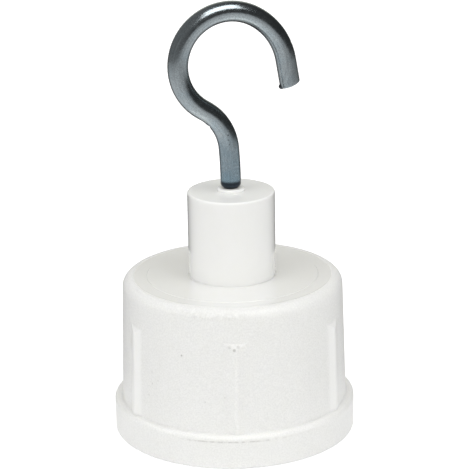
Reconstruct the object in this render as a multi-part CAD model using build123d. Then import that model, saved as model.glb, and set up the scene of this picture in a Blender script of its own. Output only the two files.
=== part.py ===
from build123d import *
import math
import os

# A garland hook: a screw cap moulded in white plastic, with a wire hook driven into its boss.
# Millimetres. The origin is the centre of the rim's lower face, +Z is the cap's axis, and
# the hook is bent in the XZ plane with its mouth towards +X.

# Cap, outside
RIM_DIAMETER = 48.0
RIM_HEIGHT = 6.6
RIM_TOP_ROUNDING = 0.7
RIM_FOOT_ROUNDING = 0.3
WALL_FOOT_DIAMETER = 44.8
WALL_FOOT_FILLET = 0.4
WALL_DRAFT = 1.5
CAP_HEIGHT = 31.5
SHOULDER_ROUNDING = 2.0

# Disc left by the mould's round insert, a hair higher than the top around it
INSERT_DIAMETER = 34.0
INSERT_STEP = 0.08

# Boss that holds the hook
BOSS_DIAMETER = 17.2
BOSS_HEIGHT = 17.2
BOSS_FOOT_FILLET = 0.2
BOSS_EDGE_ROUNDING = 0.4

# Low collar on the boss, round the hole that the hook is screwed into
COLLAR_DIAMETER = 5.4
COLLAR_HEIGHT = 0.7
COLLAR_ROUNDING = 0.35

# Grip ribs, equally spaced, with one of them RIB_CLOCKING short of the -Y direction.
# The root width is taken RIB_ROOT_DEPTH under the surface of the wall.
RIB_COUNT = 6
RIB_CLOCKING = 14.0
RIB_CREST_WIDTH = 0.5
RIB_PROUD = 0.6
RIB_ROOT_WIDTH = 6.8
RIB_ROOT_DEPTH = 0.4
RIB_FLANK_RADIUS = 30.0
RIB_TOP = 24.9
RIB_END_SLOPE = 60.0
RIB_EDGE_ROUNDING = 0.2

# Cavity, with a coarse thread groove in its wall
BORE_DIAMETER = 37.6
BORE_MOUTH_CHAMFER = 1.2
BORE_TOP = 19.0
ROOF_THICKNESS = 2.8
ROOF_DRAFT = 2.0
ROOF_FILLET = 2.0
CAP_PITCH = 4.0
CAP_GROOVE_DEPTH = 1.1
CAP_GROOVE_MOUTH = 1.9
CAP_GROOVE_ROOT = 1.0
CAP_GROOVE_TOP = 15.5

# Hook wire, bent round formers, starting from the boss and ending at the sheared tip
WIRE_DIAMETER = 4.0
SHANK_BEND_RADIUS = 90.0
SHANK_BEND_ANGLE = 4.4
NECK_RADIUS = 10.2
NECK_ANGLE = 54.4
EYE_RADIUS = 10.25
EYE_ANGLE = 179.0
NOSE_RADIUS = 12.6
NOSE_ANGLE = 50.5
TIP_LENGTH = 5.15
TIP_SHEAR_ANGLE = 12.0
TIP_EDGE_ROUNDING = 0.3
TIP_BURR_RADIUS = 0.55
TIP_BURR_PROUD = 0.3

# Marks that the bending tools pressed into the wire, on the left of its run: how far each
# lies from the start of the bends, measured along the wire, and its depth
TOOL_MARKS = [(13.25, 0.2), (28.4, 0.12), (56.9, 0.15)]
TOOL_MARK_RADIUS = 0.8

# Screw end of the hook. The clearance is left between the collar and the shank.
SHANK_CLEARANCE = 0.15
SHANK_ROUNDING = 0.7
SHANK_STRAIGHT = 0.25
SCREW_DIAMETER = 3.8
SCREW_CORE_DIAMETER = 2.8
SCREW_PITCH = 1.6
SCREW_GROOVE_MOUTH = 1.3
SCREW_GROOVE_ROOT = 0.25
SCREW_RUN_OUT = 0.4
SCREW_DEPTH = 15.0
SCREW_END_CHAMFER = 0.6
SCREW_NECK_LENGTH = 1.2

# Overshoot that lets one solid cut or join another cleanly
OVERLAP = 0.5

BOSS_TOP = CAP_HEIGHT + BOSS_HEIGHT
COLLAR_TOP = BOSS_TOP + COLLAR_HEIGHT
SHANK_END = COLLAR_TOP + SHANK_CLEARANCE
BEND_START = SHANK_END + SHANK_ROUNDING + SHANK_STRAIGHT


def wall_radius(height):
    """Outer radius of the drafted wall at a height above the rim's lower face."""
    return WALL_FOOT_DIAMETER / 2 - (height - RIM_HEIGHT) * math.tan(math.radians(WALL_DRAFT))


def rounded_section(corners):
    """Half-section in the XZ plane from (radius, height, rounding) corners."""
    points = [(radius, height) for radius, height, _ in corners]
    section = make_face(Polyline(*points, close=True))
    for radius, height, rounding in corners:
        if rounding > 0:
            corner = section.vertices().sort_by_distance((radius, height, 0))[0]
            section = fillet(corner, rounding)
    return Plane.XZ * section


def cap_body():
    """Rim, wall, top, boss and collar as one turned shape, still solid inside."""
    insert = INSERT_DIAMETER / 2
    outline = [
        (0, 0, 0),
        (RIM_DIAMETER / 2, 0, RIM_FOOT_ROUNDING),
        (RIM_DIAMETER / 2, RIM_HEIGHT, RIM_TOP_ROUNDING),
        (WALL_FOOT_DIAMETER / 2, RIM_HEIGHT, WALL_FOOT_FILLET),
        (wall_radius(CAP_HEIGHT), CAP_HEIGHT, SHOULDER_ROUNDING),
        (insert, CAP_HEIGHT, 0),
        (insert - INSERT_STEP, CAP_HEIGHT + INSERT_STEP, 0),
        (BOSS_DIAMETER / 2, CAP_HEIGHT + INSERT_STEP, BOSS_FOOT_FILLET),
        (BOSS_DIAMETER / 2, BOSS_TOP, BOSS_EDGE_ROUNDING),
        (COLLAR_DIAMETER / 2, BOSS_TOP, 0),
        (COLLAR_DIAMETER / 2, COLLAR_TOP, COLLAR_ROUNDING),
        (0, COLLAR_TOP, 0),
    ]
    return revolve(rounded_section(outline), Axis.Z)


def cap_cavity():
    """Hollow of the cap: chamfered mouth, straight bore and a drafted end under the roof."""
    bore = BORE_DIAMETER / 2
    roof = CAP_HEIGHT - ROOF_THICKNESS
    roof_radius = bore - (roof - BORE_TOP) * math.tan(math.radians(ROOF_DRAFT))
    outline = [
        (0, -OVERLAP, 0),
        (bore + BORE_MOUTH_CHAMFER + OVERLAP, -OVERLAP, 0),
        (bore, BORE_MOUTH_CHAMFER, 0),
        (bore, BORE_TOP, 0),
        (roof_radius, roof, ROOF_FILLET),
        (0, roof, 0),
    ]
    return revolve(rounded_section(outline), Axis.Z)


def helical_groove(radius, depth, mouth, root, pitch, bottom, top, outward):
    """Solid that fills a helical groove whose mouth lies on a wall of the given radius."""
    side = 1 if outward else -1
    flank = (mouth - root) / 2 / depth
    half_mouth = mouth / 2 + OVERLAP * flank
    section = Polyline(
        (radius - side * OVERLAP, -half_mouth),
        (radius + side * depth, -root / 2),
        (radius + side * depth, root / 2),
        (radius - side * OVERLAP, half_mouth),
        close=True,
    )
    path = Helix(pitch=pitch, height=top - bottom, radius=radius)
    groove = sweep(Plane.XZ * make_face(section), path=path, is_frenet=True)
    return Pos(0, 0, bottom) * groove


def grip_rib():
    """One low ridge along the wall on the +X side: narrow crest, hollow flanks, sloped end."""
    foot = RIM_HEIGHT - OVERLAP
    crest = wall_radius(foot) + RIB_PROUD
    root = wall_radius(foot) - RIB_ROOT_DEPTH
    half_crest = RIB_CREST_WIDTH / 2
    half_root = RIB_ROOT_WIDTH / 2
    section = make_face([
        Line((crest, -half_crest), (crest, half_crest)),
        RadiusArc((crest, half_crest), (root, half_root), RIB_FLANK_RADIUS),
        Line((root, half_root), (root, -half_root)),
        RadiusArc((root, -half_root), (crest, -half_crest), RIB_FLANK_RADIUS),
    ])
    lean = Vector(-math.tan(math.radians(WALL_DRAFT)), 0, 1)
    rib = extrude(Pos(0, 0, foot) * section, RIB_TOP + 2 * RIB_ROOT_DEPTH - foot, dir=lean)
    end_normal = Vector(0, 0, 1).rotate(Axis.Y, RIB_END_SLOPE)
    end = Plane((wall_radius(RIB_TOP), 0, RIB_TOP), z_dir=end_normal)
    rib -= extrude(end * Circle(RIB_ROOT_WIDTH), RIB_ROOT_WIDTH)
    crest_edges = rib.faces().sort_by(Axis.X)[-1].edges().sort_by(Axis.Z)[1:]
    return fillet(crest_edges, RIB_EDGE_ROUNDING)


def wire_path():
    """Centreline of the bent wire: four tangent arcs, then a straight run past the tip."""
    shank = JernArc((0, BEND_START), (0, 1), SHANK_BEND_RADIUS, SHANK_BEND_ANGLE)
    neck = JernArc(shank @ 1, shank % 1, NECK_RADIUS, NECK_ANGLE)
    eye = JernArc(neck @ 1, neck % 1, EYE_RADIUS, -EYE_ANGLE)
    nose = JernArc(eye @ 1, eye % 1, NOSE_RADIUS, -NOSE_ANGLE)
    tip = Line(nose @ 1, nose @ 1 + (nose % 1) * (TIP_LENGTH + WIRE_DIAMETER / 2))
    return Wire((Plane.XZ * Curve([shank, neck, eye, nose, tip])).edges())


def sheared_tip(wire, path):
    """The wire cut off by a slanting shear, which leaves a burr on its longer, inner side."""
    direction = path % 1
    end = (path @ 1) - direction * (WIRE_DIAMETER / 2)
    shear = Plane(end, z_dir=direction.rotate(Axis.Y, -TIP_SHEAR_ANGLE))
    offcut = extrude(shear * Circle(WIRE_DIAMETER), WIRE_DIAMETER * 2)
    wire -= offcut
    cut_edges = wire.faces().sort_by_distance(end)[0].edges()
    wire = fillet(cut_edges, TIP_EDGE_ROUNDING)
    inward = direction.rotate(Axis.Y, 90)
    burr = end + inward * (WIRE_DIAMETER / 2 + TIP_BURR_PROUD - TIP_BURR_RADIUS)
    return wire + Pos(burr) * Sphere(TIP_BURR_RADIUS)


def tool_mark(path, distance, depth):
    """Cylinder that presses a shallow mark across the wire, on the left of its run."""
    place = path.position_at(distance, position_mode=PositionMode.LENGTH)
    heading = path.tangent_at(distance, position_mode=PositionMode.LENGTH)
    left = heading.rotate(Axis.Y, -90)
    centre = place + left * (WIRE_DIAMETER / 2 + TOOL_MARK_RADIUS - depth)
    return Plane(centre, z_dir=(0, 1, 0)) * Cylinder(TOOL_MARK_RADIUS, WIRE_DIAMETER)


def hook_screw():
    """Threaded end below the shank, with its rounded shoulder just above the collar."""
    screw_end = BOSS_TOP - SCREW_DEPTH
    wire = WIRE_DIAMETER / 2
    major = SCREW_DIAMETER / 2
    core = SCREW_CORE_DIAMETER / 2
    neck_end = BOSS_TOP - SCREW_NECK_LENGTH
    shoulder = revolve(rounded_section([
        (0, SHANK_END, 0),
        (wire, SHANK_END, SHANK_ROUNDING),
        (wire, BEND_START, 0),
        (0, BEND_START, 0),
    ]), Axis.Z)
    blank = revolve(rounded_section([
        (0, screw_end, 0),
        (major - SCREW_END_CHAMFER, screw_end, 0),
        (major, screw_end + SCREW_END_CHAMFER, 0),
        (major, neck_end - (major - core), 0),
        (core, neck_end, 0),
        (core, SHANK_END + OVERLAP, 0),
        (0, SHANK_END + OVERLAP, 0),
    ]), Axis.Z)
    groove = helical_groove(
        major, major - core, SCREW_GROOVE_MOUTH, SCREW_GROOVE_ROOT, SCREW_PITCH,
        screw_end - SCREW_PITCH, neck_end + SCREW_RUN_OUT, False,
    )
    return (blank - groove) + shoulder


def hook_solid():
    """Bent wire with its sheared tip, its tool marks and its screw end."""
    path = wire_path()
    start = Plane(path @ 0, z_dir=path % 0)
    wire = sweep(start * Circle(WIRE_DIAMETER / 2), path=path)
    hook = sheared_tip(wire, path)
    for distance, depth in TOOL_MARKS:
        hook -= tool_mark(path, distance, depth)
    return hook + hook_screw()


def cap_solid(screw):
    """The moulding: its turned body with ribs, hollowed, threaded and closed on the screw."""
    body = cap_body()
    for index in range(RIB_COUNT):
        azimuth = -90 - RIB_CLOCKING + index * 360 / RIB_COUNT
        body += Rot(0, 0, azimuth) * grip_rib()
    body -= cap_cavity()
    body -= helical_groove(
        BORE_DIAMETER / 2, CAP_GROOVE_DEPTH, CAP_GROOVE_MOUTH, CAP_GROOVE_ROOT, CAP_PITCH,
        -CAP_PITCH, CAP_GROOVE_TOP, True,
    )
    return body - screw


hook = hook_solid()
cap = cap_solid(hook_screw())

os.makedirs("parts", exist_ok=True)
export_step(cap, "parts/cap.step")
export_step(hook, "parts/hook.step")
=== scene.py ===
from collections import namedtuple
import math

import bmesh
import bpy
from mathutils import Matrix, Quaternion, Vector


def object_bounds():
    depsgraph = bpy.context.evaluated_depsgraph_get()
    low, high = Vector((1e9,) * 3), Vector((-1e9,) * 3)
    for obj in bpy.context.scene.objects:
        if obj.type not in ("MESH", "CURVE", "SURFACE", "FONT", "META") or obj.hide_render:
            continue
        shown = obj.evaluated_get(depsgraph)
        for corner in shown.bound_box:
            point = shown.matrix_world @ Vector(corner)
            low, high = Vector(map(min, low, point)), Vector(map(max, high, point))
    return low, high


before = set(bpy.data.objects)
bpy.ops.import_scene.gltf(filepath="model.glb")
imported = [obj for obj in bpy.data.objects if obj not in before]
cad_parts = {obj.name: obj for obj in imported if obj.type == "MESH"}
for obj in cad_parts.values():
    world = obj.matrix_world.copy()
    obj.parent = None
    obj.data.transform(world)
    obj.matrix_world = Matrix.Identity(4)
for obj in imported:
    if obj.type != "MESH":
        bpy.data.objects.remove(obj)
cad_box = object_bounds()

# A garland hook: a white plastic screw cap with a zinc-plated wire hook in its boss.
# Metres. +Z is the cap's axis and the hook is bent in the XZ plane, as in the frame.
# The materials work in millimetres, since the forms that they follow are that small.

MM = 0.001
WHITE = (1.0, 1.0, 1.0, 1.0)

# Camera at the photograph's angle: azimuth 0 looks along +Y, and a minus turns it to -X
CAMERA_AZIMUTH = -15.0
CAMERA_REACH = 0.4091
CAMERA_HEIGHT = 0.1737
CAMERA_AIM_RIGHT = 0.00065
CAMERA_AIM_HEIGHT = 0.03949
CAMERA_ROLL = -0.97
CAMERA_LENS = 167.5
SENSOR_WIDTH = 36.0
CLIP_START = 0.01

# Cap in millimetres, where its finish changes
FLAT_RADIUS = 19.6
TOP_HEIGHT = 31.5
BOSS_TOP = 48.7
LEDGE_HEIGHT = 6.6
WALL_FOOT_RADIUS = 22.4
WALL_SLOPE = 0.0262
RIB_TOP = 24.9
PARTING_HEIGHT = 5.6
COARSE_HEIGHT = 30.3

# Soft edges between finishes, in millimetres from the place that each one follows
TOP_EDGE = (-0.2, -0.1)
FLAT_EDGE = (-0.3, 0.1)
BOSS_TOP_EDGE = (-0.3, -0.1)
RIB_FOOT_EDGE = (0.3, 0.6)
RIB_TOP_EDGE = (-0.3, 0.0)
RIB_SIDE_EDGE = (0.06, 0.2)
PARTING_EDGE = (0.06, 0.22)
COARSE_EDGE = (0.3, 1.0)

# Stretches of the cap in millimetres: the centre, and the distances from it between which
# the stretch fades out
FRONT_RIB = ((-5.4, -21.9, 16.0), 11.0, 14.0)
PARTING_STRETCH = ((-6.2, -23.2, PARTING_HEIGHT), 7.0, 13.0)
COARSE_STRETCH = ((-9.8, -19.2, COARSE_HEIGHT), 4.0, 11.0)

# Small faults of the moulding: the bearing in degrees from -Y towards -X, the height, the
# distance off the wall and the radius in millimetres, and the depth of colour
SPECKS = [
    (42.0, 21.9, 0.0, 0.22, 0.5),
    (19.7, 14.05, 0.0, 0.16, 0.3),
    (29.7, 13.0, 0.0, 0.16, 0.3),
    (14.7, 23.85, 0.6, 0.36, 0.5),
    (17.0, 24.4, 0.4, 0.42, 0.25),
    (12.8, 24.4, 0.4, 0.42, 0.25),
    (56.6, 15.55, 0.0, 0.2, 0.2),
    (63.3, 11.95, 0.0, 0.2, 0.2),
    (60.8, 17.0, 0.0, 0.24, 0.18),
    (60.6, 14.6, 0.0, 0.24, 0.18),
]

# A spot is at full depth within the first of these, and gone beyond the second, as shares
# of its radius
SPOT_CORE = 0.4
SPOT_EDGE = 1.3

# Noise of the white plastic, with its grain in millimetres
FINE_NOISE = {"grain": 0.3, "detail": 3.0, "roughness": 0.65}
LUMP_NOISE = {"grain": 0.9, "detail": 2.0, "roughness": 0.6}
BROAD_NOISE = {"grain": 2.6, "detail": 2.0, "roughness": 0.5}
CLOUD_NOISE = {"grain": 11.0, "detail": 2.0, "roughness": 0.5}

# Colour of the white plastic
PLASTIC_DIM = (0.855, 0.855, 0.83, 1.0)
PLASTIC_PALE = (0.885, 0.885, 0.87, 1.0)
CLOUD_SHARE = 0.7
SPECKLE_LEVELS = (-0.08, 0.045)
RIB_SMOOTHNESS = 0.75
# Painted light: how much lighter the smooth ribs' colour is made
RIB_PAINTED_LIGHT = 0.07
SPECK_COLOUR = (0.3, 0.29, 0.27, 1.0)
# Painted shade in the valleys of the coarse arc's grain
VALLEY_SHADE_COLOUR = (0.5, 0.49, 0.47, 1.0)
VALLEY_SHADE_NOISE_RANGE = (0.4, 0.6)
VALLEY_SHADE_DEPTH = 0.17
# Painted shade along the parting line at the rim's top edge
SEAM_SHADE_COLOUR = (0.4, 0.39, 0.37, 1.0)
SEAM_SHADE_NOISE_RANGE = (0.36, 0.6)
SEAM_SHADE_DEPTH = 0.42

# Gloss and relief of the white plastic, with its depths in millimetres
GRAINED_ROUGHNESS = (0.34, 0.5)
POLISHED_ROUGHNESS = (0.03, 0.06)
BOSS_TOP_ROUGHNESS = 0.2
COAT_WEIGHT = 0.8
COAT_ROUGHNESS = 0.03
COAT_IOR = 1.5
PLASTIC_IOR = 1.55
LUMP_RELIEF = 0.7
COARSE_RELIEF = 1.6
RIPPLE_RELIEF = 0.15
GRAIN_STRENGTH = 0.7
GRAIN_DEPTH = 0.06
SCATTER_DEPTH = 0.6
SCATTER_COLOURS = (1.0, 1.0, 0.95)

# Wire hook in millimetres: bend radii, and turns in degrees, from the boss to the tip
WIRE_RADIUS = 2.0
SHANK_FOOT = 49.55
BEND_START = 50.5
BENDS = {
    "shank": (90.0, 4.4),
    "neck": (10.2, 54.4),
    "eye": (10.25, -179.0),
    "nose": (12.6, -50.5),
}
TIP_LENGTH = 5.15

# All of the wire this far above the neck's end, in millimetres, is on the eye or the nose
EYE_LIFT = 3.0

# Pits in the front of the shank in millimetres: centre and radius, and depth of colour
PITS = [
    ((-0.9, -1.9, 60.45), 0.2, 0.8),
    ((-0.85, -1.9, 59.5), 0.16, 0.8),
    ((-0.65, -1.9, 58.55), 0.16, 0.8),
]

# Dark places of the wire in millimetres: the painted shade at the foot by height above SHANK_FOOT,
# the burr by distance from its centre, and the painted dark reflection inside the eye by offset from
# the wire's middle and by x
FOOT_SHADE_EDGE = (1.0, 1.7)
FOOT_SHADE_DEPTH = 0.95
BURR_REACH = (0.5, 1.0)
BURR_DEPTH = 0.85
# Painted dark reflection along the inside of the eye
PAINTED_REFLECTION_OFFSET = (-1.65, -1.15)
PAINTED_REFLECTION_LEFT = (-4.0, -1.5)
PAINTED_REFLECTION_RIGHT = (5.5, 8.0)
PAINTED_REFLECTION_DEPTH = 0.8

# Noise of the zinc plate, with its grain in millimetres
STREAK_NOISE = {"grain": 0.35, "detail": 4.0, "roughness": 0.65}
PATCH_NOISE = {"grain": 3.2, "detail": 3.0, "roughness": 0.6}
MOTTLE_NOISE = {"grain": 0.7, "detail": 2.0, "roughness": 0.5}
CRYSTAL_NOISE = {"grain": 0.28, "detail": 3.0, "roughness": 0.7}
STREAK_STRETCH = (0.06, 1.0, 1.0)

# Colour, gloss and relief of the zinc plate, with its heights and depth in millimetres
ZINC_PALE = (0.55, 0.615, 0.645, 1.0)
ZINC_BLUE = (0.34, 0.475, 0.56, 1.0)
# Dark colour of the pits and the burr, also used for the painted dark reflection inside the eye
PIT_AND_PAINTED_REFLECTION_COLOUR = (0.03, 0.035, 0.04, 1.0)
# Painted shade where the shank goes down into the boss
FOOT_SHADE_COLOUR = (0.025, 0.03, 0.04, 1.0)
PATCH_BLUENESS = 0.8
BLUE_HEIGHTS = (50.0, 66.0)
HEIGHT_BLUENESS = (0.45, -0.05)
BLUENESS_RANGE = (0.35, 0.95)
STREAK_LEVELS = (0.84, 1.11)
CRYSTAL_LEVELS = (0.8, 1.15)
ZINC_ROUGHNESS = (0.16, 0.27)
MOTTLE_RELIEF = 0.6
DRAW_MARK_STRENGTH = 0.25
DRAW_MARK_DEPTH = 0.02

# Values between which most of a noise lies
NOISE_RANGE = (0.3, 0.7)

# World and floor, as levels at which a white surface would show
WORLD_LEVEL = 0.55
FLOOR_BOUNCE = 0.8
FLOOR_LIFT = 0.6
FLOOR_DROP = 0.05 * MM
FLOOR_RADII = (0.001, 0.3, 4.0)

# Lamps as the camera sees them: azimuth and elevation in degrees, width and height, and the
# level to which a lamp lights a white surface that faces it
LAMPS = {
    "front": (-4.0, 10.0, 0.5, 0.3, 0.21),
    "left": (-60.0, 50.0, 0.5, 0.5, 0.23),
    "right": (60.0, 50.0, 0.5, 0.5, 0.24),
    "overhead": (0.0, 80.0, 0.5, 0.5, 0.12),
}
LAMP_DISTANCE = 0.8

# Studio that only reflections show: a softbox, a room and a table
SOFTBOX_AZIMUTH = 22.0
SOFTBOX_ELEVATION = 62.0
SOFTBOX_DISTANCE = 0.6
SOFTBOX_SIZE = 0.42
SOFTBOX_LEVEL = 2.3
ROOM_RADIUS = 0.9
ROOM_STEPS = 24
ROOM_POLE_HOLE = 0.001
ROOM_SIDE_EDGE = (-0.8, 0.8)
ROOM_SIDE_LEVELS = (0.035, 0.16)
ROOM_BACK_ELEVATION = 18.0
ROOM_BACK_EDGE = (0.84, 0.96)
ROOM_BACK_LEVEL = 0.38
ROOM_BACK_TINT = (1.0, 0.96, 0.6, 1.0)
TABLE_HEIGHT = 0.0005
TABLE_RADII = (0.036, 0.1, 0.3, ROOM_RADIUS)
TABLE_LEVEL = 0.77
TABLE_FALLOFF_MM = 340.0
TABLE_BACK_EDGE = (0.2, 0.8)
TABLE_BACK_SHARE = 0.25

Bend = namedtuple("Bend", "centre radius end heading")


def node(tree, kind, inputs=None, **settings):
    """A shader node with its settings, and its inputs given as values or as links."""
    made = tree.nodes.new(kind)
    for name, value in settings.items():
        setattr(made, name, value)
    for key, value in (inputs or {}).items():
        if isinstance(value, bpy.types.NodeSocket):
            tree.links.new(value, made.inputs[key])
        else:
            made.inputs[key].default_value = value
    return made


def calculate(tree, operation, *values):
    """Result of a math node on numbers or sockets."""
    return node(tree, "ShaderNodeMath", dict(enumerate(values)), operation=operation).outputs[0]


def add(tree, first, second):
    """Sum of two numbers or sockets."""
    return calculate(tree, "ADD", first, second)


def subtract(tree, first, second):
    """First number or socket less the second."""
    return calculate(tree, "SUBTRACT", first, second)


def multiply(tree, first, second):
    """Product of two numbers or sockets."""
    return calculate(tree, "MULTIPLY", first, second)


def larger(tree, first, second):
    """Larger of two numbers or sockets."""
    return calculate(tree, "MAXIMUM", first, second)


def diagonal(tree, first, second):
    """Distance that two lengths at right angles span."""
    squares = add(tree, multiply(tree, first, first), multiply(tree, second, second))
    return calculate(tree, "SQRT", squares)


def remap(tree, value, source, low=0.0, high=1.0, smooth=False):
    """A value carried from a source range to low and high, and held at its ends."""
    made = node(tree, "ShaderNodeMapRange", {
        "Value": value,
        "From Min": source[0],
        "From Max": source[1],
        "To Min": low,
        "To Max": high,
    }, interpolation_type="SMOOTHSTEP" if smooth else "LINEAR")
    return made.outputs["Result"]


def across_edge(tree, value, place, edge, low=0.0, high=1.0, smooth=False):
    """A number that goes from low to high over a soft edge beside a place."""
    return remap(tree, value, (place + edge[0], place + edge[1]), low, high, smooth)


def scaled(tree, vector, factor):
    """Vector or colour times a number."""
    made = node(tree, "ShaderNodeVectorMath", {0: vector, "Scale": factor}, operation="SCALE")
    return made.outputs[0]


def dot(tree, vector, other):
    """Dot product of two vectors."""
    made = node(tree, "ShaderNodeVectorMath", {0: vector, 1: other}, operation="DOT_PRODUCT")
    return made.outputs["Value"]


def noise(tree, vector, grain, detail, roughness):
    """Noise whose lumps measure about the grain, in the units of the vector."""
    made = node(tree, "ShaderNodeTexNoise", {
        "Vector": vector,
        "Scale": 1.0 / grain,
        "Detail": detail,
        "Roughness": roughness,
    })
    return made.outputs["Fac"]


def spread(tree, value, levels):
    """A noise carried to the two levels between which most of it then lies."""
    return remap(tree, value, NOISE_RANGE, levels[0], levels[1])


def blend_colours(tree, factor, first, second):
    """Colour between two others."""
    made = node(tree, "ShaderNodeMix", {0: factor, 6: first, 7: second}, data_type="RGBA")
    return made.outputs[2]


def blend_vectors(tree, factor, first, second):
    """Vector between two others."""
    made = node(tree, "ShaderNodeMix", {0: factor, 4: first, 5: second}, data_type="VECTOR")
    return made.outputs[1]


def blend_numbers(tree, factor, first, second):
    """Number between two others."""
    rest = subtract(tree, 1.0, factor)
    return add(tree, multiply(tree, first, rest), multiply(tree, second, factor))


def empty_material(name):
    """A node material that holds only its output, with its tree and that output."""
    material = bpy.data.materials.new(name)
    material.use_nodes = True
    tree = material.node_tree
    tree.nodes.clear()
    return material, tree, tree.nodes.new("ShaderNodeOutputMaterial")


def surface_material(name):
    """A material with a Principled shader, its tree and that shader."""
    material, tree, output = empty_material(name)
    shader = tree.nodes.new("ShaderNodeBsdfPrincipled")
    tree.links.new(shader.outputs[0], output.inputs["Surface"])
    return material, tree, shader


def millimetres(tree):
    """Place on the object in millimetres: the vector, and its x, y and z."""
    place = scaled(tree, tree.nodes.new("ShaderNodeTexCoord").outputs["Object"], 1.0 / MM)
    parts = node(tree, "ShaderNodeSeparateXYZ", {0: place})
    return place, parts.outputs[0], parts.outputs[1], parts.outputs[2]


def near(tree, place, centre, inner, outer):
    """1 within the inner distance from a centre, and 0 beyond the outer one."""
    away = node(tree, "ShaderNodeVectorMath", {0: place, 1: centre}, operation="DISTANCE")
    return remap(tree, away.outputs["Value"], (inner, outer), 1.0, 0.0, smooth=True)


def marks(tree, place, spots):
    """Depth of colour of the small dark spots given by (centre, radius, depth)."""
    total = None
    for centre, size, depth in spots:
        spot = multiply(tree, near(tree, place, centre, SPOT_CORE * size, SPOT_EDGE * size), depth)
        total = spot if total is None else larger(tree, total, spot)
    return total


def speck_spots():
    """Centre, radius and depth of colour of each speck on the cap's wall."""
    spots = []
    for bearing, height, off_wall, size, depth in SPECKS:
        radius = WALL_FOOT_RADIUS - WALL_SLOPE * (height - LEDGE_HEIGHT) + off_wall
        turn = math.radians(bearing)
        spots.append(((-radius * math.sin(turn), -radius * math.cos(turn), height), size, depth))
    return spots


def polished_mask(tree, radius, z):
    """1 on the boss and on the flat top inside the insert's line, and 0 elsewhere."""
    above = across_edge(tree, z, TOP_HEIGHT, TOP_EDGE)
    inside = across_edge(tree, radius, FLAT_RADIUS, FLAT_EDGE, 1.0, 0.0)
    return multiply(tree, inside, above)


def rib_mask(tree, place, radius, z):
    """How smooth the grip ribs are, apart from the front one, which is grained; the same share also
    sets the painted light that lifts the ribs' colour.
    """
    fall = multiply(tree, subtract(tree, z, LEDGE_HEIGHT), WALL_SLOPE)
    off_wall = subtract(tree, radius, subtract(tree, WALL_FOOT_RADIUS, fall))
    proud = remap(tree, off_wall, RIB_SIDE_EDGE, 0.0, RIB_SMOOTHNESS)
    length = multiply(tree, across_edge(tree, z, LEDGE_HEIGHT, RIB_FOOT_EDGE),
                      across_edge(tree, z, RIB_TOP, RIB_TOP_EDGE, 1.0, 0.0))
    elsewhere = subtract(tree, 1.0, near(tree, place, *FRONT_RIB))
    return multiply(tree, multiply(tree, proud, length), elsewhere)


def coarse_mask(tree, place, z):
    """1 on the coarse arc at the front of the shoulder, where the grain is coarser and painted shade
    darkens its valleys, and 0 elsewhere.
    """
    away = calculate(tree, "ABSOLUTE", subtract(tree, z, COARSE_HEIGHT))
    band = remap(tree, away, COARSE_EDGE, 1.0, 0.0, smooth=True)
    return multiply(tree, band, near(tree, place, *COARSE_STRETCH))


def parting_line_shade(tree, place, z, lumps):
    """Depth of the painted shade along the broken parting line at the front of the rim."""
    away = calculate(tree, "ABSOLUTE", subtract(tree, z, PARTING_HEIGHT))
    line = remap(tree, away, PARTING_EDGE, SEAM_SHADE_DEPTH, 0.0)
    broken = multiply(tree, remap(tree, lumps, SEAM_SHADE_NOISE_RANGE), near(tree, place, *PARTING_STRETCH))
    return multiply(tree, line, broken)


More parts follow.
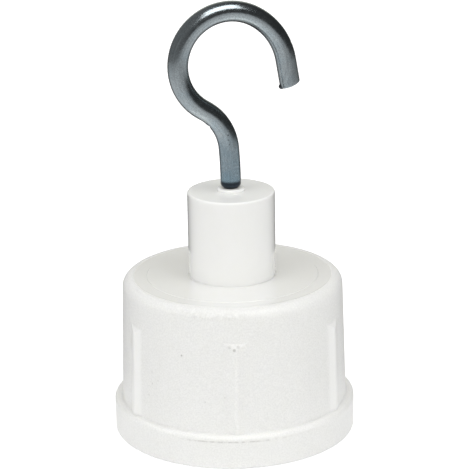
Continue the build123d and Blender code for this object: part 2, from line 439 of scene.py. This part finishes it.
def white_plastic():
    """Injection-moulded white plastic: spark-grained wall and shoulder, polished boss and top."""
    material, tree, shader = surface_material("white_plastic")
    place, x, y, z = millimetres(tree)
    radius = diagonal(tree, x, y)
    polished = polished_mask(tree, radius, z)
    on_rib = rib_mask(tree, place, radius, z)
    dull = subtract(tree, 1.0, larger(tree, polished, on_rib))
    coarse = coarse_mask(tree, place, z)
    fine = noise(tree, place, **FINE_NOISE)
    lumps = noise(tree, place, **LUMP_NOISE)
    broad = noise(tree, place, **BROAD_NOISE)
    clouds = noise(tree, place, **CLOUD_NOISE)

    tone = add(tree, multiply(tree, clouds, CLOUD_SHARE), multiply(tree, broad, 1.0 - CLOUD_SHARE))
    plastic = blend_colours(tree, tone, PLASTIC_DIM, PLASTIC_PALE)
    speckles = multiply(tree, dull, spread(tree, fine, SPECKLE_LEVELS))
    # Grain tone, and painted light that lifts the colour of the smooth ribs
    grain_tone_and_rib_light = add(tree, add(tree, 1.0, speckles), multiply(tree, on_rib, RIB_PAINTED_LIGHT))
    specks = marks(tree, place, speck_spots())
    colour = blend_colours(tree, specks, scaled(tree, plastic, grain_tone_and_rib_light), SPECK_COLOUR)
    # Painted shade in the valleys of the coarse grain at the front of the shoulder
    valley_shade = multiply(tree, coarse, remap(tree, lumps, VALLEY_SHADE_NOISE_RANGE, VALLEY_SHADE_DEPTH, 0.0))
    colour = blend_colours(tree, valley_shade, colour, VALLEY_SHADE_COLOUR)
    # Painted shade along the broken parting line at the front of the rim
    colour = blend_colours(tree, parting_line_shade(tree, place, z, lumps), colour, SEAM_SHADE_COLOUR)
    tree.links.new(colour, shader.inputs["Base Color"])

    grained = spread(tree, fine, GRAINED_ROUGHNESS)
    on_boss_top = across_edge(tree, z, BOSS_TOP, BOSS_TOP_EDGE)
    satin = add(tree, spread(tree, clouds, POLISHED_ROUGHNESS),
                multiply(tree, on_boss_top, BOSS_TOP_ROUGHNESS))
    tree.links.new(blend_numbers(tree, polished, grained, satin), shader.inputs["Roughness"])
    coat = multiply(tree, polished, remap(tree, on_boss_top, (0.0, 1.0), COAT_WEIGHT, 0.0))
    tree.links.new(coat, shader.inputs["Coat Weight"])
    shader.inputs["Coat Roughness"].default_value = COAT_ROUGHNESS
    shader.inputs["Coat IOR"].default_value = COAT_IOR
    shader.inputs["IOR"].default_value = PLASTIC_IOR

    lump_relief = add(tree, LUMP_RELIEF, multiply(tree, coarse, COARSE_RELIEF))
    relief = add(tree, fine, multiply(tree, lumps, lump_relief))
    ripples = multiply(tree, broad, RIPPLE_RELIEF)
    bump = node(tree, "ShaderNodeBump", {
        "Strength": GRAIN_STRENGTH,
        "Distance": GRAIN_DEPTH * MM,
        "Height": add(tree, multiply(tree, relief, dull), ripples),
    })
    tree.links.new(bump.outputs[0], shader.inputs["Normal"])
    shader.inputs["Subsurface Weight"].default_value = 1.0
    shader.inputs["Subsurface Scale"].default_value = SCATTER_DEPTH * MM
    shader.inputs["Subsurface Radius"].default_value = SCATTER_COLOURS
    return material


def left_of(heading):
    """Unit vector to the left of a heading in radians."""
    return Vector((-math.sin(heading), math.cos(heading)))


def wire_bends():
    """The bends of the wire from the boss to the tip, in millimetres in the XZ plane."""
    point = Vector((0.0, BEND_START))
    heading = math.radians(90.0)
    bends = {}
    for name, (radius, turn) in BENDS.items():
        side = math.copysign(1.0, turn)
        centre = point + left_of(heading) * side * radius
        heading += math.radians(turn)
        point = centre - left_of(heading) * side * radius
        onward = Vector((math.cos(heading), math.sin(heading)))
        bends[name] = Bend(centre, radius, point.copy(), onward)
    return bends


def along_and_across(tree, x, y, z, bend):
    """Place on a bend of the wire: length along it, then radial and sideways offsets."""
    right = subtract(tree, x, bend.centre.x)
    rise = subtract(tree, z, bend.centre.y)
    length = multiply(tree, calculate(tree, "ARCTAN2", right, rise), bend.radius)
    offset = subtract(tree, diagonal(tree, right, rise), bend.radius)
    return node(tree, "ShaderNodeCombineXYZ", {0: length, 1: offset, 2: y}).outputs[0]


def past(tree, x, z, bend):
    """1 past the plane that crosses the wire at a bend's end, and 0 before it."""
    forward = add(tree, multiply(tree, subtract(tree, x, bend.end.x), bend.heading.x),
                  multiply(tree, subtract(tree, z, bend.end.y), bend.heading.y))
    return calculate(tree, "GREATER_THAN", forward, 0.0)


def wire_run(tree, x, y, z, bends):
    """Place on the wire, as length along it and offsets across, and 1 from the eye to the tip."""
    on_neck = past(tree, x, z, bends["shank"])
    above_neck = calculate(tree, "GREATER_THAN", z, bends["neck"].end.y + EYE_LIFT)
    on_eye = larger(tree, past(tree, x, z, bends["neck"]), above_neck)
    right_side = calculate(tree, "GREATER_THAN", x, 0.0)
    on_nose = multiply(tree, past(tree, x, z, bends["eye"]), right_side)
    run = node(tree, "ShaderNodeCombineXYZ", {0: z, 1: x, 2: y}).outputs[0]
    for reached, name in ((on_neck, "neck"), (on_eye, "eye"), (on_nose, "nose")):
        run = blend_vectors(tree, reached, run, along_and_across(tree, x, y, z, bends[name]))
    return run, on_eye


def painted_inner_reflection(tree, x, run, on_eye):
    """Depth of the painted dark reflection along the inside of the eye, over its top."""
    offset = node(tree, "ShaderNodeSeparateXYZ", {0: run}).outputs[1]
    line = multiply(tree, remap(tree, offset, PAINTED_REFLECTION_OFFSET, PAINTED_REFLECTION_DEPTH, 0.0), on_eye)
    over_top = multiply(tree, remap(tree, x, PAINTED_REFLECTION_LEFT),
                        remap(tree, x, PAINTED_REFLECTION_RIGHT, 1.0, 0.0))
    return multiply(tree, line, over_top)


def burr_mark(tree, place, nose):
    """Depth of colour of the burr on the inner edge of the tip."""
    tip = nose.end + nose.heading * TIP_LENGTH
    inner = tip + Vector((nose.heading.y, -nose.heading.x)) * WIRE_RADIUS
    return multiply(tree, near(tree, place, (inner.x, 0.0, inner.y), *BURR_REACH), BURR_DEPTH)


def zinc_steel():
    """Bright zinc plate on drawn wire: lengthwise draw marks, blue patches, painted shade at the foot
    and a painted dark reflection along the inside of the eye.
    """
    material, tree, shader = surface_material("zinc_steel")
    place, x, y, z = millimetres(tree)
    bends = wire_bends()
    run, on_eye = wire_run(tree, x, y, z, bends)
    drawn = node(tree, "ShaderNodeVectorMath", {0: run, 1: STREAK_STRETCH}, operation="MULTIPLY")
    streaks = noise(tree, drawn.outputs[0], **STREAK_NOISE)
    patches = noise(tree, place, **PATCH_NOISE)
    mottle = noise(tree, place, **MOTTLE_NOISE)
    crystals = noise(tree, place, **CRYSTAL_NOISE)

    blueness = add(tree, multiply(tree, patches, PATCH_BLUENESS),
                   remap(tree, z, BLUE_HEIGHTS, *HEIGHT_BLUENESS, smooth=True))
    plate = blend_colours(tree, remap(tree, blueness, BLUENESS_RANGE), ZINC_PALE, ZINC_BLUE)
    brightness = multiply(tree, spread(tree, streaks, STREAK_LEVELS),
                          spread(tree, crystals, CRYSTAL_LEVELS))
    # Pits and the burr are marks on the wire; the line inside the eye is a painted dark reflection
    marks_and_painted_reflection = larger(tree, marks(tree, place, PITS), burr_mark(tree, place, bends["nose"]))
    marks_and_painted_reflection = larger(tree, marks_and_painted_reflection, painted_inner_reflection(tree, x, run, on_eye))
    colour = blend_colours(tree, marks_and_painted_reflection, scaled(tree, plate, brightness), PIT_AND_PAINTED_REFLECTION_COLOUR)
    # Painted shade over the shank's foot, where it goes into the boss
    foot_shade = across_edge(tree, z, SHANK_FOOT, FOOT_SHADE_EDGE, FOOT_SHADE_DEPTH, 0.0, smooth=True)
    tree.links.new(blend_colours(tree, foot_shade, colour, FOOT_SHADE_COLOUR), shader.inputs["Base Color"])
    shader.inputs["Metallic"].default_value = 1.0
    tree.links.new(spread(tree, mottle, ZINC_ROUGHNESS), shader.inputs["Roughness"])

    bump = node(tree, "ShaderNodeBump", {
        "Strength": DRAW_MARK_STRENGTH,
        "Distance": DRAW_MARK_DEPTH * MM,
        "Height": add(tree, streaks, multiply(tree, mottle, MOTTLE_RELIEF)),
    })
    tree.links.new(bump.outputs[0], shader.inputs["Normal"])
    return material


def direction(azimuth, elevation):
    """Unit vector from the object, with azimuth 0 on the camera's side and + to its right."""
    turn = math.radians(-90.0 + CAMERA_AZIMUTH + azimuth)
    lift = math.radians(elevation)
    return Vector((math.cos(turn) * math.cos(lift), math.sin(turn) * math.cos(lift), math.sin(lift)))


def face_object(piece, azimuth, elevation, distance):
    """Puts a lamp or panel at a distance from the object's middle, facing it."""
    aim = direction(azimuth, elevation)
    piece.location = Vector((0.0, 0.0, cad_box[1][2] / 2)) + aim * distance
    piece.rotation_euler = aim.to_track_quat("Z", "Y").to_euler()
    bpy.context.scene.collection.objects.link(piece)


def lamp(name, azimuth, elevation, width, height, level):
    """Rectangular lamp aimed at the object, which lights a facing white surface to a level."""
    light = bpy.data.lights.new(name, "AREA")
    light.shape = "RECTANGLE"
    light.size = width
    light.size_y = height
    light.energy = level * math.pi ** 2 * LAMP_DISTANCE ** 2
    holder = bpy.data.objects.new(name, light)
    holder.visible_glossy = False
    face_object(holder, azimuth, elevation, LAMP_DISTANCE)


def backdrop_rays(tree):
    """1 for the rays that see the white background: camera, glossy and transmission."""
    path = tree.nodes.new("ShaderNodeLightPath")
    seen = larger(tree, path.outputs["Is Camera Ray"], path.outputs["Is Glossy Ray"])
    return larger(tree, seen, path.outputs["Is Transmission Ray"])


def ring_mesh(name, profile, segments=96):
    """Surface turned about the Z axis from (radius, height) points."""
    mesh = bpy.data.meshes.new(name)
    made = bmesh.new()
    rows = []
    for radius, height in profile:
        row = []
        for index in range(segments):
            turn = 2 * math.pi * index / segments
            row.append(made.verts.new((radius * math.cos(turn), radius * math.sin(turn), height)))
        rows.append(row)
    for low, high in zip(rows, rows[1:]):
        for index in range(segments):
            after = (index + 1) % segments
            made.faces.new((low[index], low[after], high[after], high[index]))
    made.to_mesh(mesh)
    made.free()
    ring = bpy.data.objects.new(name, mesh)
    bpy.context.scene.collection.objects.link(ring)
    return ring


def pale_floor():
    """White paper floor that shows white to the camera and keeps a soft shadow."""
    floor = ring_mesh("floor", [(radius, -FLOOR_DROP) for radius in FLOOR_RADII])
    material, tree, output = empty_material("floor_paper")
    paper = node(tree, "ShaderNodeBsdfDiffuse", {
        "Color": (FLOOR_BOUNCE, FLOOR_BOUNCE, FLOOR_BOUNCE, 1.0),
    })
    lift = node(tree, "ShaderNodeEmission", {
        "Strength": multiply(tree, backdrop_rays(tree), FLOOR_LIFT),
    })
    both = node(tree, "ShaderNodeAddShader", {0: paper.outputs[0], 1: lift.outputs[0]})
    tree.links.new(both.outputs[0], output.inputs["Surface"])
    floor.data.materials.append(material)


def first_reflection(tree, output, shader):
    """Shows a studio surface in what the camera sees mirrored, and not in the white's own light."""
    depth = tree.nodes.new("ShaderNodeLightPath").outputs["Diffuse Depth"]
    clear = tree.nodes.new("ShaderNodeBsdfTransparent")
    later = remap(tree, depth, (0.0, 1.0))
    mixed = node(tree, "ShaderNodeMixShader", {0: later, 1: shader.outputs[0], 2: clear.outputs[0]})
    tree.links.new(mixed.outputs[0], output.inputs["Surface"])


def reflected_only(piece):
    """Shows a piece of the studio in reflections and nowhere else."""
    piece.visible_camera = False
    piece.visible_diffuse = False
    piece.visible_shadow = False
    piece.visible_transmission = False
    piece.visible_volume_scatter = False


def grey_table():
    """Table around the paper, brightest near the object, for the metal to mirror."""
    table = ring_mesh("grey_table", [(radius, TABLE_HEIGHT) for radius in TABLE_RADII])
    material, tree, output = empty_material("table_grey")
    _, x, y, _ = millimetres(tree)
    radius = diagonal(tree, x, y)
    spent = add(tree, 1.0, calculate(tree, "DIVIDE", radius, TABLE_FALLOFF_MM))
    falloff = calculate(tree, "DIVIDE", TABLE_LEVEL, spent)
    back = direction(180.0, 0.0)
    depth = add(tree, multiply(tree, x, back.x), multiply(tree, y, back.y))
    backward = calculate(tree, "DIVIDE", depth, radius)
    shade = remap(tree, backward, TABLE_BACK_EDGE, 1.0, TABLE_BACK_SHARE, smooth=True)
    glow = node(tree, "ShaderNodeEmission", {"Strength": multiply(tree, falloff, shade)})
    first_reflection(tree, output, glow)
    table.data.materials.append(material)
    reflected_only(table)


def dim_room():
    """Dim studio, lighter on the left and at its slightly warm back, for the gloss to mirror."""
    profile = []
    for step in range(ROOM_STEPS + 1):
        lift = math.pi / 2 * step / ROOM_STEPS
        profile.append((ROOM_RADIUS * math.cos(lift) + ROOM_POLE_HOLE, ROOM_RADIUS * math.sin(lift)))
    room = ring_mesh("dim_room", profile)
    material, tree, output = empty_material("room_dim")
    place = tree.nodes.new("ShaderNodeTexCoord").outputs["Object"]
    leftward = dot(tree, place, direction(-90.0, 0.0) / ROOM_RADIUS)
    level = remap(tree, leftward, ROOM_SIDE_EDGE, *ROOM_SIDE_LEVELS, smooth=True)
    backward = dot(tree, place, direction(180.0, ROOM_BACK_ELEVATION) / ROOM_RADIUS)
    back = remap(tree, backward, ROOM_BACK_EDGE, 0.0, ROOM_BACK_LEVEL, smooth=True)
    glow = node(tree, "ShaderNodeEmission", {
        "Color": blend_colours(tree, back, WHITE, ROOM_BACK_TINT),
        "Strength": add(tree, level, back),
    })
    first_reflection(tree, output, glow)
    room.data.materials.append(material)
    reflected_only(room)


def softbox_panel():
    """Square front of a studio softbox, for the gloss to mirror."""
    panel = bpy.data.objects.new("softbox", bpy.data.meshes.new("softbox"))
    half = SOFTBOX_SIZE / 2
    corners = [(-half, -half, 0), (half, -half, 0), (half, half, 0), (-half, half, 0)]
    panel.data.from_pydata(corners, [], [(0, 1, 2, 3)])
    face_object(panel, SOFTBOX_AZIMUTH, SOFTBOX_ELEVATION, SOFTBOX_DISTANCE)
    material, tree, output = empty_material("softbox_white")
    glow = node(tree, "ShaderNodeEmission", {"Strength": SOFTBOX_LEVEL})
    tree.links.new(glow.outputs[0], output.inputs["Surface"])
    panel.data.materials.append(material)
    reflected_only(panel)


def white_world():
    """White behind everything that is seen, and an even soft light on the object."""
    world = bpy.data.worlds.new("studio")
    world.use_nodes = True
    tree = world.node_tree
    tree.nodes.clear()
    strength = remap(tree, backdrop_rays(tree), (0.0, 1.0), WORLD_LEVEL, 1.0)
    background = node(tree, "ShaderNodeBackground", {"Color": WHITE, "Strength": strength})
    output = tree.nodes.new("ShaderNodeOutputWorld")
    tree.links.new(background.outputs[0], output.inputs["Surface"])
    bpy.context.scene.world = world


def camera():
    """Camera at the photograph's place, aim and lens."""
    data = bpy.data.cameras.new("camera")
    data.lens = CAMERA_LENS
    data.sensor_width = SENSOR_WIDTH
    data.dof.use_dof = False
    data.clip_start = CLIP_START
    holder = bpy.data.objects.new("camera", data)
    back = direction(0.0, 0.0)
    right = direction(90.0, 0.0)
    holder.location = back * CAMERA_REACH + Vector((0.0, 0.0, CAMERA_HEIGHT))
    aim = right * CAMERA_AIM_RIGHT + Vector((0.0, 0.0, CAMERA_AIM_HEIGHT))
    look = (aim - holder.location).to_track_quat("-Z", "Y")
    roll = Quaternion((0.0, 0.0, 1.0), math.radians(CAMERA_ROLL))
    holder.rotation_euler = (look @ roll).to_euler()
    bpy.context.scene.collection.objects.link(holder)
    bpy.context.scene.camera = holder


def finish_node(name, material):
    """Gives a CAD node its material."""
    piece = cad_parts[name]
    for slot in piece.material_slots:
        slot.material = material


finish_node("cap", white_plastic())
finish_node("hook", zinc_steel())
pale_floor()
grey_table()
dim_room()
white_world()
softbox_panel()
for lamp_name, lamp_values in LAMPS.items():
    lamp(lamp_name, *lamp_values)
camera()

view = bpy.context.scene.view_settings
view.view_transform = "Standard"
